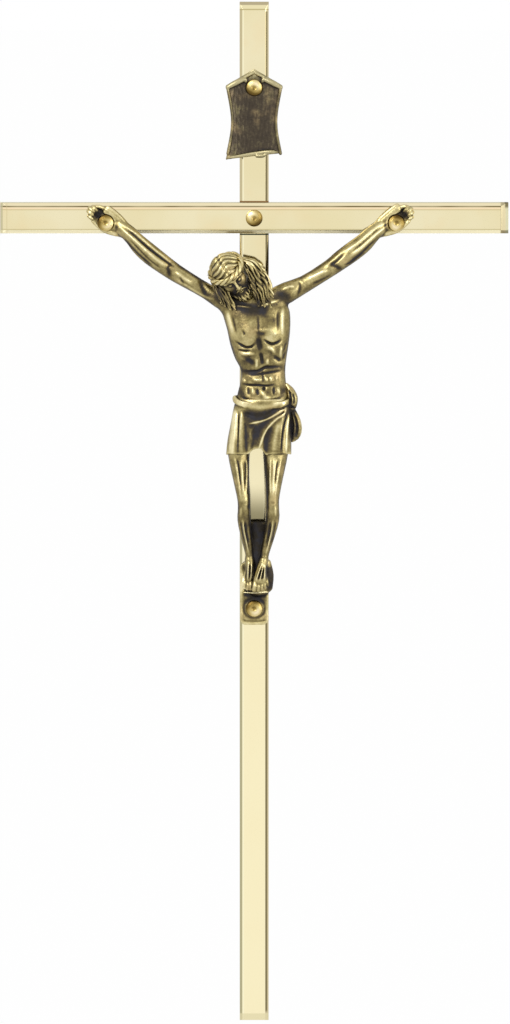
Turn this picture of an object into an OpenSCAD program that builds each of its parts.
// Wall crucifix: two bevelled brass bars lapped into each other, a cast figure riveted on by its
// hands and its foot bracket, and a riveted scroll above it.
// +Z is up, the figure looks along -Y and the wall is at y = 0. The origin is the mouth of the
// hanging hole, in the middle of the upright's back.

/* [Bars] */
// Height of the upright
upright_h = 254; // [230:1:320]
// Width of the upright
upright_w = 7.2; // [6.8:0.1:8.4]
// Thickness of the upright, from its back to its face
upright_t = 4.8; // [4.4:0.1:6]
// Length of the crossbar
crossbar_l = 126; // [100:1:160]
// Height of the crossbar
crossbar_w = 7.6; // [7.2:0.1:9]
// How far the crossbar's face stands in front of the upright's face
crossbar_proud = 0.6; // [0.3:0.1:1]
// From the top of the upright down to the middle of the crossbar
crossbar_drop = 53.5; // [50:0.1:62]
// Width of the bevel along a bar's front edges
edge_bevel_w = 0.85; // [0.5:0.05:1.1]
// How far that bevel falls back from the face
edge_bevel_d = 0.7; // [0.4:0.05:1]
// Length of the bevel at each end of a bar
end_bevel_l = 1.8; // [1:0.1:3]
// How far the end bevel falls back from the face
end_bevel_d = 0.9; // [0.5:0.1:1.5]
// Small chamfer along the back edges
back_edge = 0.3; // [0.1:0.1:0.5]
// Gap on each side where the bars lap
lap_gap = 0.04; // [0.02:0.01:0.1]

/* [Hanging hole] */
// From the top of the upright down to the middle of the hanging hole
hang_drop = 9; // [8:0.1:10]
// Radius of the hanging hole
hang_r = 2.1; // [1.8:0.1:2.4]
// Depth of the hanging hole
hang_depth = 3.2; // [2:0.1:3.6]

/* [Rivets] */
// Radius of a rivet's shank
rivet_r = 1.1; // [0.9:0.05:1.2]
// Radius of a rivet's head
rivet_head_r = 2.1; // [1.9:0.05:2.3]
// Height of a rivet's head above its seat
rivet_head_h = 1.15; // [0.9:0.05:1.4]
// Height of the straight rim under the dome
rivet_rim_h = 0.25; // [0.15:0.05:0.4]
// Radius of the dimple that the setting tool leaves in the dome
dimple_r = 0.9; // [0.6:0.05:1.1]
// Depth of that dimple
dimple_d = 0.2; // [0.1:0.02:0.3]
// Radius of the tail, spread into a countersink at the back
tail_r = 1.7; // [1.5:0.05:1.9]
// Depth of that countersink
tail_d = 0.8; // [0.5:0.05:1]
// Gap round a shank in its hole
rivet_gap = 0.05; // [0.03:0.01:0.1]
// Gap round a head in its spot face
seat_gap = 0.12; // [0.08:0.02:0.2]

/* [Scroll] */
// Width of the scroll at its corners
scroll_w = 14; // [13:0.1:16]
// From the scroll's peak down to its lowest corner
scroll_h = 22; // [20:0.1:25]
// Thickness of the scroll's sheet
scroll_t = 1.1; // [0.8:0.1:1.5]
// From the top of the upright down to the scroll's peak
scroll_drop = 16.6; // [16:0.1:19]
// From the scroll's peak down to its rivet
scroll_rivet_drop = 4.6; // [4.2:0.1:5.2]
// Radius of the scroll's rolled edges
scroll_roll_r = 0.8; // [0.6:0.05:1]
// How far each side of the scroll curves in
scroll_waist = 1.3; // [0.8:0.1:2]
// Radius to which the sheet is bent across its width
scroll_bend_r = 24; // [20:1:40]

/* [Figure] */
// From the hand rivets down to the end of the foot bracket
figure_h = 100; // [94:0.5:106]
// How far the figure stands out from the upright's face, its thorns aside
figure_d = 14; // [13:0.5:16]
// Between the two hand rivets
hand_span = 72; // [68:0.2:76]
// How far the middle of that span lies beside the middle of the upright
hand_shift = -0.8; // [-1:0.1:1]
// From the middle of the crossbar down to the hand rivets
hand_drop = 1.1; // [0.6:0.1:1.4]
// Thickness of a hand under its rivet's head
hand_t = 1.5; // [1.2:0.1:2]
// Height of the head from chin to crown
head_h = 11.4; // [11:0.2:12.8]
// Thickness of a strand of the twisted crown
crown_t = 0.7; // [0.5:0.05:0.9]
// Length of a thorn
thorn_l = 1.5; // [1:0.1:1.8]
// Width of the foot bracket
bracket_w = 7; // [6.6:0.1:7.2]
// Height of the foot bracket
bracket_h = 15.6; // [14:0.2:17]
// Thickness of the foot bracket under its rivet's head
bracket_t = 1.6; // [1.4:0.1:2]
// From the end of the foot bracket up to its rivet
bracket_rivet_rise = 4.1; // [3.8:0.1:4.4]
// Radius of the bracket's lower corners
bracket_corner_r = 1.4; // [0.8:0.1:2]

/* [Hidden] */
overrun = 1;                      // how far a cut runs past the solid that it cuts
round_sides = 48;                 // sides of round metal
top_z = hang_drop;
bar_z = top_z - crossbar_drop;
hand_z = bar_z - hand_drop;
scroll_z = top_z - scroll_drop;
scroll_rivet_z = scroll_z - scroll_rivet_drop;
bracket_z = hand_z - figure_h;
foot_rivet_z = bracket_z + bracket_rivet_rise;
crossbar_t = upright_t + crossbar_proud;
lap_y = upright_t / 2;            // the two bars share the upright's thickness where they lap
brass = "#dcc684";
antique = "#8d7b3f";
bronze = "#5d5443";
tall = figure_h / 100;            // one per cent of the figure's height
deep = figure_d / 100;            // one per cent of how far the figure stands out

// Shares of the scroll, of its width across and its height down
shoulder_share = 0.18;            // its shoulders lie this far below the peak
right_corner_share = 0.96;        // its right corner ends higher than the left one
roll_reach_share = 0.3;           // how near the middle its top rolls come
edge_steps = 10;

// Places on the figure are [across, down, out]. Across and down are per cent of its height, from
// the middle of the upright and the hand rivets. Out is per cent of its depth, from the upright's
// face. A station adds the half width and the half depth there, in the same two shares.
torso_shares = [
    [0.2, 17.4, 34, 3.4, 16], [0.1, 19.0, 35, 6.4, 22], [0.2, 20.8, 36, 8.2, 26],
    [0.6, 22.8, 36, 8.3, 28], [1.1, 26.3, 37, 7.8, 29], [1.3, 30.0, 37, 7.2, 28],
    [1.6, 33.3, 35, 6.4, 25], [2.2, 36.4, 33, 5.5, 22], [2.2, 39.6, 34, 5.7, 22],
    [2.2, 42.6, 36, 6.4, 24], [1.8, 45.7, 37, 6.6, 25]];
neck_shares = [[0.2, 19.8, 34, 2.8, 18], [-1.3, 17.9, 36, 2.1, 15], [-3.5, 15.7, 43, 2.0, 14]];
// Swellings and hollows on the torso: [across, down, spread across, spread down, rise out]
torso_relief_shares = [
    [-3.4, 27.4, 2.8, 2.8, 9], [4.6, 26.4, 2.8, 2.8, 9], [0.7, 26.6, 0.9, 3.6, -5],
    [-2.8, 31.2, 3.2, 1.0, -9], [4.8, 30.1, 3.0, 1.0, -9], [1.0, 31.4, 1.6, 1.8, -8],
    [-2.0, 33.6, 2.2, 1.5, 8], [5.4, 32.8, 2.2, 1.5, 8], [2.2, 36.3, 4.6, 0.8, -8],
    [0.8, 38.0, 1.0, 1.0, 5], [3.6, 38.0, 1.0, 1.0, 5], [2.3, 39.6, 4.2, 0.8, -6],
    [2.4, 37.8, 0.6, 2.6, -4], [2.5, 41.0, 0.8, 0.8, -7], [2.2, 42.4, 2.6, 1.6, 6],
    [-5.6, 29.5, 1.0, 2.4, -4], [7.2, 29.5, 1.0, 2.4, -4]];
// An arm's stations run from the shoulder, 0 per cent, to the hand rivet, 100 per cent:
// [along, sag below the straight line, out, half width, half depth]
right_shoulder_shares = [-7.8, 19.0];
left_shoulder_shares = [7.6, 17.9];
right_arm_shares = [
    [-12, -0.6, 35, 2.4, 17], [0, 0, 33, 2.4, 17], [15, 0.45, 29, 1.95, 14],
    [36, 0.9, 26, 2.15, 15], [46, 0.9, 25, 2.35, 15], [61, 0.55, 23, 2.55, 16],
    [70, 0, 21, 2.35, 14], [77, -0.5, 19, 2.0, 12], [86, -0.7, 15, 1.7, 9], [92, -0.4, 12, 1.4, 6],
    [97, -0.2, 10, 0.9, 4]];
left_arm_shares = [
    [-12, -0.9, 35, 2.6, 17], [0, -0.5, 33, 2.65, 17], [19, 0.35, 29, 2.1, 14],
    [41, 0.45, 26, 2.15, 15], [50, 0.2, 25, 2.4, 15], [60, 0, 23, 2.5, 16],
    [70, -0.3, 21, 2.35, 14], [77, -0.55, 19, 2.1, 12], [86, -0.5, 15, 1.7, 9], [92, -0.3, 12, 1.4, 6],
    [97, -0.1, 10, 0.9, 4]];
right_leg_shares = [
    [-1.9, 48.9, 36, 3.2, 22], [-3.6, 53.8, 40, 3.0, 20], [-3.8, 57.4, 44, 2.65, 18],
    [-3.2, 63.6, 50, 1.95, 15], [-2.5, 68.3, 53, 1.55, 13], [-2.4, 72.6, 48, 1.6, 13],
    [-1.8, 77.4, 40, 1.35, 11], [-1.1, 82.1, 31, 1.0, 8], [-1.1, 85.2, 31, 1.2, 9],
    [-1.3, 88.4, 30, 1.4, 7], [-1.4, 90.0, 29, 1.3, 5]];
left_leg_shares = [
    [4.4, 48.9, 36, 3.3, 22], [5.3, 53.8, 40, 3.3, 20], [5.3, 57.4, 44, 3.0, 18],
    [4.9, 63.6, 50, 2.1, 15], [4.6, 68.3, 53, 1.55, 13], [4.5, 72.6, 48, 1.65, 13],
    [3.6, 77.4, 40, 1.35, 11], [2.5, 82.1, 33, 1.05, 8], [2.0, 85.2, 36, 1.4, 9],
    [1.7, 88.4, 38, 1.9, 7], [1.6, 90.0, 37, 1.8, 5]];
web_shares = [[1.1, 74.0, 38, 3.0, 4], [0.9, 77.4, 33, 2.4, 4], [0.7, 82.0, 27, 1.5, 5],
              [0.6, 88.0, 24, 1.2, 5]];
// Toes: [across at the root, across at the tip, down at the root, down at the tip, out, radius]
toe_shares = [
    [0.4, 0.0, 88.4, 91.3, 37, 0.72], [1.2, 1.0, 88.6, 91.4, 38, 0.5], [1.9, 1.9, 88.4, 91.1, 38, 0.46],
    [2.5, 2.7, 88.2, 90.6, 37, 0.44], [3.0, 3.4, 87.9, 90.0, 36, 0.42], [-0.8, -0.9, 88.4, 91.0, 29, 0.6],
    [-1.4, -1.7, 88.4, 91.2, 29, 0.48], [-2.0, -2.3, 88.2, 90.8, 28, 0.44],
    [-2.5, -2.9, 87.8, 90.2, 27, 0.42]];

// The loincloth's stations, its hanging folds as [across, rise out], and its swept folds as lists
// of [across, down, radius] that lie on its front
cloth_shares = [
    [2.2, 43.3, 37, 6.7, 26], [2.0, 45.7, 38, 7.1, 28], [1.6, 49.9, 39, 7.5, 29],
    [1.3, 53.6, 41, 7.9, 28], [1.1, 56.6, 43, 8.1, 27], [1.1, 57.2, 43, 7.9, 26]];
hanging_shares = [[-5.7, 7], [-4.6, -5], [-3.5, 8], [-1.8, -9], [6.4, -4], [7.4, 6], [0.6, -7]];
hollow_shares = [0.2, 47.6, 2.6, 1.6, -10];
hanging_spread_share = 0.75;
swept_fold_shares = [
    [[8.2, 45.4, 0.6], [5.0, 47.2, 0.75], [2.0, 48.6, 0.6], [-2.0, 49.6, 0.1]],
    [[8.6, 45.8, 0.6], [5.2, 48.2, 0.8], [2.8, 51.0, 0.85], [1.4, 53.6, 0.75], [-0.3, 56.8, 0.4]],
    [[8.9, 46.4, 0.6], [6.6, 50.0, 0.75], [5.4, 53.4, 0.8], [4.6, 57.0, 0.6]]];
waist_shares = [[2.1, 44.0, 37, 7.0, 27], 1.4, 0.75];  // its ellipse, its dip in front, its radius
split_shares = [0.75, 57.4, 1.5];                      // the hem's split: [across, down, radius]
side_share = 0.98;                   // how far to its side the front of the cloth is followed
knot_shares = [[7.0, 44.9, 42, 0.5, 4], [7.7, 44.1, 42, 1.4, 12], [9.0, 42.5, 40, 1.8, 14],
               [9.7, 41.0, 38, 1.3, 10], [10.1, 39.9, 37, 0.4, 3]];
tail_shares = [[7.8, 43.6, 40, 0.5, 5], [8.6, 44.6, 40, 1.2, 10], [9.9, 46.6, 38, 1.5, 11],
               [10.9, 49.6, 36, 1.4, 10], [11.1, 52.0, 35, 1.1, 7], [10.4, 54.3, 34, 0.3, 3]];

// The head: where its middle is, and how it bows, leans and turns, in degrees
head_place_shares = [-5.6, 13.0, 52];
head_turns = [27, -36, -3];
skull_shares = [0.34, 0.42, 0.5];    // half width, half depth and half height, of its height
jaw_share = 0.3;                     // how much narrower the jaw is than the temples
even_share = 0.4;                    // how evenly its sides are spread, the rest crowd to the front
// Features: [degrees beside the middle, degrees up, spread beside, spread up, rise in per cent]
face_shares = [
    [0, -8, 7, 12, 14], [0, -17, 9, 5, 8], [0, 14, 28, 6, 5], [19, 3, 9, 7, -8], [34, -12, 14, 10, 3],
    [0, -31, 13, 4, 5], [0, -40, 12, 4, 4], [0, -54, 18, 9, 8]];
hair_shares = [0.37, 0.44, 0.48];     // half width, half depth and half height, of the head's height
hair_back_share = 0.07;
hair_up_share = 0.06;
hair_wave_share = 0.02;
hair_waves = 9;
crown_shares = [0.37, 0.43];         // half width and half depth of the crown's ring
crown_up_share = 0.24;
crown_tilt = 7;                       // how much lower it sits in front, in degrees
crown_twists = 4;
crown_pinch_share = 0.55;            // how thick the ring is where its two strands meet
thorns = 11;
thorn_tilt = 25;
lock_shares = [
    [[-2.6, 9.6, 57, 1.0, 7], [-0.8, 12.0, 54, 1.2, 9], [0.5, 15.8, 55, 1.2, 9],
     [1.8, 19.0, 52, 1.0, 7], [2.3, 22.1, 59, 0.4, 3]],
    [[-2.5, 9.6, 49, 1.1, 8], [0, 12.1, 48, 1.3, 9], [2.6, 16.2, 47, 1.2, 8], [4.2, 20.7, 53, 0.4, 3]],
    [[-9.4, 12.4, 51, 1.0, 7], [-9.4, 15.1, 48, 1.1, 8], [-8.5, 18.0, 49, 1.0, 7], [-7.2, 21.2, 54, 0.4, 3]],
    [[-1.9, 16.5, 65, 1.1, 8], [-0.8, 19.0, 67, 1.1, 8], [-0.6, 21.4, 61, 0.4, 3]],
    [[-3.0, 16.9, 66, 1.1, 8], [-2.4, 19.2, 63, 1.1, 8], [-1.9, 21.8, 64, 0.4, 3]]];

// A hand, in per cent of the figure's height from its rivet: [towards the fingers, to the thumb, radius]
hand_lift = 41;                      // how steeply the hands point up, in degrees
palm_shares = [[-4.6, 0.1, 1.5], [-1.6, -1.0, 1.8], [1.9, -1.7, 1.2], [2.2, 1.6, 1.2]];
thumb_shares = [[-3.6, 1.3, 0.9, 0.9], [-0.7, 2.8, 1.1, 0.85], [2.2, 3.1, 1.2, 0.65]];
// Where each finger lies, from the little finger to the one beside the thumb, and how long it is
finger_row_shares = [[-1.8, 0.76], [-0.6, 0.95], [0.6, 1], [1.75, 0.9]];
// A finger's joints: [towards the fingers, off the bar, radius]
finger_shares = [[2.0, 0.9, 0.68], [4.3, 1.7, 0.62], [3.2, 3.3, 0.5]];
boss_shares = [[-1.4, 86.0, 1.4], [3.1, 86.4, 1.6], [-1.6, 91.0, 1.2], [3.4, 90.6, 1.4]];
boss_out_shares = [12, 24];          // how far the rest under the feet stands out, above and below
ledge_share = 92.4;                  // where that rest ends

limb_steps = 13;
limb_sides = 11;
torso_steps = 38;
front_sides = 24;                    // sides round the front half of the torso and the cloth
back_sides = 6;
cloth_steps = 12;
lock_steps = 6;
lock_sides = 6;
head_rows = 19;
head_sides = 24;
hair_rows = 12;
hair_sides = 18;
crown_steps = 30;
crown_sides = 8;
tip_sides = 6;
cast_sides = 24;                     // sides of the rivet holes and corners in the casting

// Shapes that the figure is built from

function total(list, i = 0) = i == len(list) - 1 ? list[i] : list[i] + total(list, i + 1);
function bell(v) = exp(-v * v);
function unit(v) = v / norm(v);
function place(p) = [p[0] * tall, -upright_t - p[2] * deep, hand_z - p[1] * tall];

// The curve through the rows of a table, from its first row at 0 to its last at 1
function curve(rows, u) =
    let (last = len(rows) - 1, s = u * last, i = min(floor(s), last - 1), t = s - i,
         a = rows[max(i - 1, 0)], b = rows[i], c = rows[i + 1], d = rows[min(i + 2, last)])
    (2 * b + (c - a) * t + (2 * a - 5 * b + 4 * c - d) * t * t + (3 * b - a - 3 * c + d) * t * t * t) / 2;

// Angles round a section whose front half, 180 to 360 degrees, has more sides than its back
function front_angles() = [
    for (i = [0 : back_sides - 1]) 180 * i / back_sides,
    for (i = [0 : front_sides - 1]) 180 + 180 * i / front_sides];

// A solid skin over rings of points that all turn the same way round the line they follow
module skin(rings) {
    sides = len(rings[0]);
    last = len(rings) - 1;
    ends = [total(rings[0]) / sides, total(rings[last]) / sides];
    polyhedron(
        points = concat([for (ring = rings) each ring], ends),
        faces = [
            for (k = [0 : last - 1], i = [0 : sides - 1])
                let (j = (i + 1) % sides, a = k * sides, b = a + sides)
                each [[a + i, b + i, b + j], [a + i, b + j, a + j]],
            for (i = [0 : sides - 1])
                let (j = (i + 1) % sides, top = last * sides, first = (last + 1) * sides)
                each [[i, j, first], [top + j, top + i, first + 1]]]);
}

// A closed hoop over rings of points
module hoop(rings) {
    sides = len(rings[0]);
    count = len(rings);
    polyhedron(
        points = [for (ring = rings) each ring],
        faces = [
            for (k = [0 : count - 1], i = [0 : sides - 1])
                let (j = (i + 1) % sides, a = k * sides, b = ((k + 1) % count) * sides)
                each [[a + i, b + i, b + j], [a + i, b + j, a + j]]]);
}

// The ring round a point, square to the way it goes, with its own half width and half depth
function ring(middle, way, half_w, half_d, sides, outer = [0, -1, 0]) =
    let (along = unit(way), across = unit(cross(outer, along)), outward = cross(along, across))
    [for (i = [0 : sides - 1])
        let (a = 360 * i / sides) middle + across * half_w * cos(a) + outward * half_d * sin(a)];

// A limb, lock or fold along stations in the figure's shares
module limb(stations, steps, sides) {
    rows = [for (i = [0 : steps]) curve(stations, i / steps)];
    skin([for (i = [0 : steps])
        ring(place(rows[i]), place(rows[min(i + 1, steps)]) - place(rows[max(i - 1, 0)]),
             rows[i][3] * tall, rows[i][4] * deep, sides)]);
}

// A round finger, toe or thumb between two points
module digit(from, to, from_r, to_r) {
    hull() {
        translate(from) sphere(r = from_r, $fn = tip_sides);
        translate(to) sphere(r = to_r, $fn = tip_sides);
    }
}

// Bars

// A bar along X, its back on y = 0, with bevels along its front edges and at both ends
module bar(length, width, thickness) {
    intersection() {
        rotate([90, 0, 90]) linear_extrude(height = length, center = true)
            polygon([
                [-back_edge, -width / 2], [-thickness + edge_bevel_d, -width / 2],
                [-thickness, -width / 2 + edge_bevel_w], [-thickness, width / 2 - edge_bevel_w],
                [-thickness + edge_bevel_d, width / 2], [-back_edge, width / 2],
                [0, width / 2 - back_edge], [0, -width / 2 + back_edge]]);
        linear_extrude(height = width, center = true)
            polygon([
                [-length / 2, -back_edge], [-length / 2, -thickness + end_bevel_d],
                [-length / 2 + end_bevel_l, -thickness], [length / 2 - end_bevel_l, -thickness],
                [length / 2, -thickness + end_bevel_d], [length / 2, -back_edge],
                [length / 2 - back_edge, 0], [-length / 2 + back_edge, 0]]);
    }
}

// A rivet's hole through a bar from the front, with the countersink for its tail at the back
module rivet_hole(x, z, front) {
    translate([x, overrun, z]) rotate([90, 0, 0])
        cylinder(h = front + 2 * overrun, r = rivet_r + rivet_gap, $fn = round_sides);
    translate([x, 0, z]) rotate([90, 0, 0])
        cylinder(h = tail_d, r1 = tail_r + rivet_gap, r2 = rivet_r + rivet_gap, $fn = round_sides);
}

module upright() {
    color(brass) difference() {
        translate([0, 0, top_z - upright_h / 2]) rotate([0, 90, 0]) bar(upright_h, upright_w, upright_t);
        translate([-upright_w, -upright_t - overrun, bar_z - crossbar_w / 2 - lap_gap])
            cube([2 * upright_w, upright_t - lap_y + overrun, crossbar_w + 2 * lap_gap]);
        for (z = [scroll_rivet_z, bar_z, foot_rivet_z]) rivet_hole(0, z, upright_t);
        translate([0, overrun, 0]) rotate([90, 0, 0])
            cylinder(h = hang_depth + overrun, r = hang_r, $fn = round_sides);
    }
}

module crossbar() {
    color(brass) difference() {
        translate([0, 0, bar_z]) bar(crossbar_l, crossbar_w, crossbar_t);
        translate([-upright_w / 2 - lap_gap, -lap_y, bar_z - crossbar_w])
            cube([upright_w + 2 * lap_gap, lap_y + overrun, 2 * crossbar_w]);
        translate([0, overrun, bar_z]) rotate([90, 0, 0])
            cylinder(h = crossbar_t + 2 * overrun, r = rivet_r + rivet_gap, $fn = round_sides);
        for (x = hand_xs()) rivet_hole(x, hand_z, crossbar_t);
    }
}

// The figure's right hand is on the left as you look at it
function hand_xs() = [hand_shift - hand_span / 2, hand_shift + hand_span / 2];

// Rivets

// A rivet along -Y from the back of a bar, with its head seated at the given grip
module rivet(x, z, grip) {
    dome_h = rivet_head_h - rivet_rim_h;
    dome_r = (rivet_head_r * rivet_head_r + dome_h * dome_h) / (2 * dome_h);
    dome_a = asin(rivet_head_r / dome_r);
    dimple_a = asin(dimple_r / dome_r);
    top = grip + rivet_head_h;
    color(brass) translate([x, 0, z]) rotate([90, 0, 0]) rotate_extrude($fn = round_sides)
        polygon(concat(
            [[0, 0], [tail_r, 0], [rivet_r, tail_d], [rivet_r, grip], [rivet_head_r, grip]],
            [for (i = [0 : edge_steps])
                let (a = dome_a + (dimple_a - dome_a) * i / edge_steps)
                [dome_r * sin(a), top - dome_r + dome_r * cos(a)]],
            [[dimple_r / 2, top - dome_r + dome_r * cos(dimple_a) - dimple_d],
             [0, top - dome_r + dome_r * cos(dimple_a) - dimple_d]]));
}

module crossing_rivet() {
    rivet(0, bar_z, crossbar_t);
}

module scroll_rivet() {
    rivet(0, scroll_rivet_z, upright_t + scroll_t);
}

module right_hand_rivet() {
    rivet(hand_xs()[0], hand_z, crossbar_t + hand_t);
}

module left_hand_rivet() {
    rivet(hand_xs()[1], hand_z, crossbar_t + hand_t);
}

module foot_rivet() {
    rivet(0, foot_rivet_z, upright_t + bracket_t);
}

// Scroll

// An edge of the scroll between two points, curved in by a depth at its middle
function scroll_edge(from, to, inward) = [
    for (i = [0 : edge_steps - 1])
        let (t = i / edge_steps) from + (to - from) * t + inward * 4 * t * (1 - t)];

// A rolled edge between two places on the scroll's front: [x, z, radius]
module roll(from, to) {
    a = [from[0], -upright_t - scroll_t, from[1]];
    b = [to[0], -upright_t - scroll_t, to[1]];
    run = b - a;
    translate(a) rotate([0, atan2(run[0], run[2]), 0])
        cylinder(h = norm(run), r1 = from[2], r2 = to[2], $fn = round_sides);
}

module scroll() {
    peak = [0, 0];
    right_top = [scroll_w / 2, -scroll_h * shoulder_share];
    right_low = [scroll_w / 2, -scroll_h * right_corner_share];
    left_low = [-scroll_w / 2, -scroll_h];
    left_top = [-scroll_w / 2, -scroll_h * shoulder_share];
    back_y = -upright_t;
    color(bronze) translate([0, 0, scroll_z]) difference() {
        union() {
            intersection() {
                translate([0, back_y, 0]) rotate([90, 0, 0])
                    linear_extrude(height = 3 * scroll_t)
                        polygon(concat(
                            scroll_edge(peak, right_top, [0, 0]),
                            scroll_edge(right_top, right_low, [-scroll_waist, 0]),
                            scroll_edge(right_low, left_low, [0, -scroll_roll_r]),
                            scroll_edge(left_low, left_top, [scroll_waist, 0]),
                            scroll_edge(left_top, peak, [0, 0])));
                translate([0, back_y - scroll_bend_r, -2 * scroll_h]) difference() {
                    cylinder(h = 3 * scroll_h, r = scroll_bend_r, $fn = 4 * round_sides);
                    translate([0, 0, -overrun])
                        cylinder(h = 3 * scroll_h + 2 * overrun, r = scroll_bend_r - scroll_t,
                                 $fn = 4 * round_sides);
                }
            }
            for (side = [-1, 1])
                roll([side * (scroll_w / 2 - scroll_roll_r), -scroll_h * shoulder_share - scroll_roll_r / 4,
                      scroll_roll_r],
                     [side * scroll_w / 2 * roll_reach_share, -scroll_roll_r * 5 / 2, scroll_roll_r * 3 / 4]);
            roll([-scroll_w / 2 + scroll_roll_r, -scroll_h + scroll_roll_r / 2, scroll_roll_r],
                 [scroll_w / 2 - 2 * scroll_roll_r, -scroll_h * right_corner_share + scroll_roll_r / 2,
                  scroll_roll_r / 2]);
        }
        translate([0, 0, -scroll_rivet_drop]) rotate([90, 0, 0]) {
            cylinder(h = upright_t + 3 * scroll_t, r = rivet_r + rivet_gap, $fn = round_sides);
            translate([0, 0, upright_t + scroll_t])
                cylinder(h = 3 * scroll_t, r = rivet_head_r + seat_gap, $fn = round_sides);
        }
    }
}

// Figure

// How far the surface rises at a place, for a table of swellings and hollows
function relief(table, across, down) = deep * total([
    for (b = table) b[4] * bell((across - b[0]) / b[2]) * bell((down - b[1]) / b[3])]);

// Level sections through a body part, with the relief that a function of angle and height gives
module torso() {
    rows = [for (i = [torso_steps : -1 : 0]) curve(torso_shares, i / torso_steps)];
    skin([for (r = rows)
        [for (a = front_angles())
            let (across = r[0] + r[3] * cos(a), front = max(-sin(a), 0))
            place([across, r[1], r[2]])
                + [0, r[4] * deep * sin(a) - front * relief(torso_relief_shares, across, r[1]), 0]]]);
}

// Where the front of the loincloth lies at a place, in the figure's out share
function cloth_out(across, down) =
    let (span = cloth_shares[len(cloth_shares) - 1][1] - cloth_shares[0][1],
         r = curve(cloth_shares, min(max((down - cloth_shares[0][1]) / span, 0), 1)),
         side = min(abs(across - r[0]) / r[3], side_share))
    r[2] + r[4] * sqrt(1 - side * side);

module loincloth() {
    rows = [for (i = [cloth_steps : -1 : 0]) curve(cloth_shares, i / cloth_steps)];
    first = cloth_shares[0][1];
    span = cloth_shares[len(cloth_shares) - 1][1] - first;
    skin([for (r = rows)
        [for (a = front_angles())
            let (across = r[0] + r[3] * cos(a), front = max(-sin(a), 0), hang = (r[1] - first) / span,
                 fold = hang * total([for (f = hanging_shares)
                     f[1] * bell((across - f[0]) / hanging_spread_share)]))
            place([across, r[1] + waist_shares[1] * front * (1 - hang), r[2]])
                + [0, r[4] * deep * sin(a)
                    - front * (fold * deep + relief([hollow_shares], across, r[1])), 0]]]);
    for (fold = swept_fold_shares)
        limb([for (p = fold) [p[0], p[1], cloth_out(p[0], p[1]), p[2], p[2] * tall / deep]],
             2 * lock_steps, lock_sides);
    waist = waist_shares[0];
    hoop([for (i = [0 : crown_steps - 1])
        let (a = 360 * i / crown_steps, dip = waist_shares[1] * max(-sin(a), 0),
             middle = place([waist[0] + waist[3] * cos(a), waist[1] + dip, waist[2] - waist[4] * sin(a)]))
        ring(middle, [-waist[3] * tall * sin(a), waist[4] * deep * cos(a), 0],
             waist_shares[2] * tall, waist_shares[2] * tall, lock_sides, [0, 0, 1])]);
    limb(knot_shares, lock_steps, limb_sides);
    limb(tail_shares, lock_steps, limb_sides);
}

function arm_stations(shoulder, hand_x, table) = [
    for (s = table)
        let (t = s[0] / 100, hand = (hand_x / tall - shoulder[0]) * t + shoulder[0])
        [hand, shoulder[1] * (1 - t) + s[1], s[2], s[3], s[4]]];

// A hand laid open on the crossbar, its fingers curled over in front of it
module hand(side) {
    mirrored = side < 0 ? [1, 0, 0] : [0, 0, 0];
    translate([hand_xs()[(side + 1) / 2], -crossbar_t, hand_z]) mirror(mirrored)
        rotate([0, -hand_lift, 0]) difference() {
            union() {
                hull() for (p = palm_shares)
                    translate([p[0] * tall, 0, p[1] * tall])
                        scale([1, (hand_t + seat_gap) / (p[2] * tall), 1])
                            sphere(r = p[2] * tall, $fn = 2 * tip_sides - 2);
                for (i = [0, 1])
                    let (a = thumb_shares[i] * tall, b = thumb_shares[i + 1] * tall)
                    digit([a[0], -a[2], a[1]], [b[0], -b[2], b[1]], a[3], b[3]);
                for (row = finger_row_shares, i = [0, 1])
                    let (a = finger_shares[i] * tall, b = finger_shares[i + 1] * tall)
                    digit([row[1] * a[0], -a[1], row[0] * tall], [row[1] * b[0], -b[1], row[0] * tall],
                          a[2], b[2]);
            }
            translate([-figure_d, 0, -figure_d]) cube(2 * figure_d);
        }
}

function head_angle(i) =
    let (s = 2 * i / head_sides - 1) 180 * (even_share * s + (1 - even_share) * s * s * s);

function head_point(lon, lat) =
    let (swell = 1 + total([for (f = face_shares)
             f[4] / 100 * bell((abs(lon) - f[0]) / f[2]) * bell((lat - f[1]) / f[3])]),
         jaw = 1 - jaw_share * pow(max(sin(-lat), 0), 2))
    head_h * swell * [skull_shares[0] * jaw * cos(lat) * sin(lon),
                      -skull_shares[1] * cos(lat) * cos(lon), skull_shares[2] * sin(lat)];

module head() {
    translate(place(head_place_shares)) rotate(head_turns) {
        skin([for (k = [1 : head_rows - 1])
            [for (i = [0 : head_sides - 1]) head_point(head_angle(i), 180 * k / head_rows - 90)]]);
        translate([0, hair_back_share * head_h, hair_up_share * head_h])
            skin([for (k = [1 : hair_rows - 1])
                let (lat = 180 * k / hair_rows - 90)
                [for (i = [0 : hair_sides - 1])
                    let (lon = 360 * i / hair_sides,
                         wave = 1 + hair_wave_share * cos(lon * hair_waves + 2 * lat))
                    head_h * [wave * hair_shares[0] * cos(lat) * sin(lon),
                              -wave * hair_shares[1] * cos(lat) * cos(lon), hair_shares[2] * sin(lat)]]]);
        translate([0, hair_back_share * head_h / 2, crown_up_share * head_h])
            rotate([crown_tilt, 0, 0]) crown();
    }
}

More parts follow.
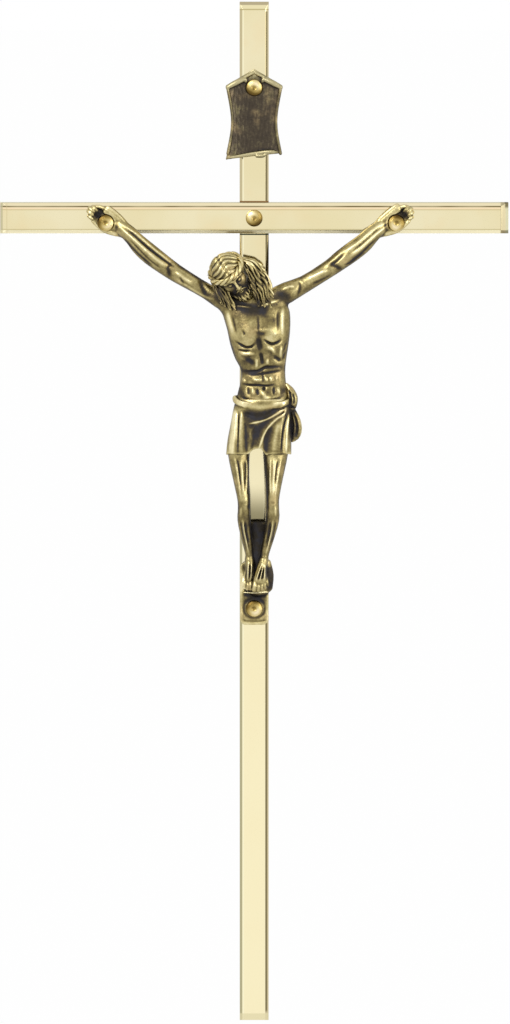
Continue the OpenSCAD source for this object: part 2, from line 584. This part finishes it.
// Two strands twisted into one ring, with thorns that point out by turns up and down
module crown() {
    hoop([for (i = [0 : crown_steps - 1])
        let (a = 360 * i / crown_steps, outward = [cos(a), sin(a), 0], up = [0, 0, 1],
             middle = [crown_shares[0] * head_h * cos(a), crown_shares[1] * head_h * sin(a), 0])
        [for (k = [0 : crown_sides - 1])
            let (b = 360 * k / crown_sides, w = b - a * crown_twists,
                 r = crown_t * (crown_pinch_share + (1 - crown_pinch_share) * abs(cos(w))))
            middle - (outward * cos(b) - up * sin(b)) * r]]);
    for (i = [0 : thorns - 1])
        let (a = 360 * i / thorns, tilt = thorn_tilt * (2 * (i % 2) - 1))
        translate([crown_shares[0] * head_h * cos(a), crown_shares[1] * head_h * sin(a), 0])
            rotate([0, 90 - tilt, a])
                cylinder(h = thorn_l + crown_t / 2, r1 = crown_t / 2, r2 = 0, $fn = lock_sides);
}

// The plate on the upright and the sloping rest that carries the feet
module bracket() {
    translate([0, -upright_t, bracket_z]) rotate([90, 0, 0])
        linear_extrude(height = bracket_t) hull() {
            for (side = [-1, 1])
                translate([side * (bracket_w / 2 - bracket_corner_r), bracket_corner_r])
                    circle(r = bracket_corner_r, $fn = cast_sides);
            translate([-bracket_w / 2, bracket_h - bracket_corner_r])
                square([bracket_w, bracket_corner_r]);
        }
    hull() for (i = [0 : len(boss_shares) - 1])
        let (b = boss_shares[i], out = boss_out_shares[floor(i / 2)])
        translate([b[0] * tall, -upright_t, hand_z - b[1] * tall]) rotate([90, 0, 0])
            cylinder(h = out * deep, r = b[2] * tall, $fn = 2 * tip_sides);
}

module feet() {
    for (t = toe_shares)
        digit(place([t[0], t[2], t[4]]), place([t[1], t[3], t[4]]), t[5] * tall, t[5] * tall);
}

// The hole for a rivet through the figure and the spot face under its head
module rivet_seat(x, z, grip) {
    translate([x, 0, z]) rotate([90, 0, 0]) {
        cylinder(h = upright_t + figure_d, r = rivet_r + rivet_gap, $fn = cast_sides);
        translate([0, 0, grip])
            cylinder(h = figure_d, r = rivet_head_r + seat_gap, $fn = cast_sides);
    }
}

module corpus() {
    color(antique) difference() {
        union() {
            torso();
            limb(neck_shares, lock_steps, limb_sides);
            loincloth();
            limb(arm_stations(right_shoulder_shares, hand_xs()[0], right_arm_shares), limb_steps, limb_sides);
            limb(arm_stations(left_shoulder_shares, hand_xs()[1], left_arm_shares), limb_steps, limb_sides);
            for (side = [-1, 1]) hand(side);
            for (leg = [right_leg_shares, left_leg_shares]) limb(leg, limb_steps, limb_sides);
            limb(web_shares, lock_steps, limb_sides);
            feet();
            head();
            for (lock = lock_shares) limb(lock, lock_steps, lock_sides);
            bracket();
        }
        translate(place([split_shares[0], split_shares[1], 0])) rotate([90, 0, 0])
            cylinder(h = figure_d, r = split_shares[2] * tall, $fn = 2 * tip_sides);
        rivet_seat(0, foot_rivet_z, upright_t + bracket_t);
        for (x = hand_xs()) rivet_seat(x, hand_z, crossbar_t + hand_t);
    }
}

upright();
crossbar();
corpus();
scroll();
crossing_rivet();
scroll_rivet();
right_hand_rivet();
left_hand_rivet();
foot_rivet();
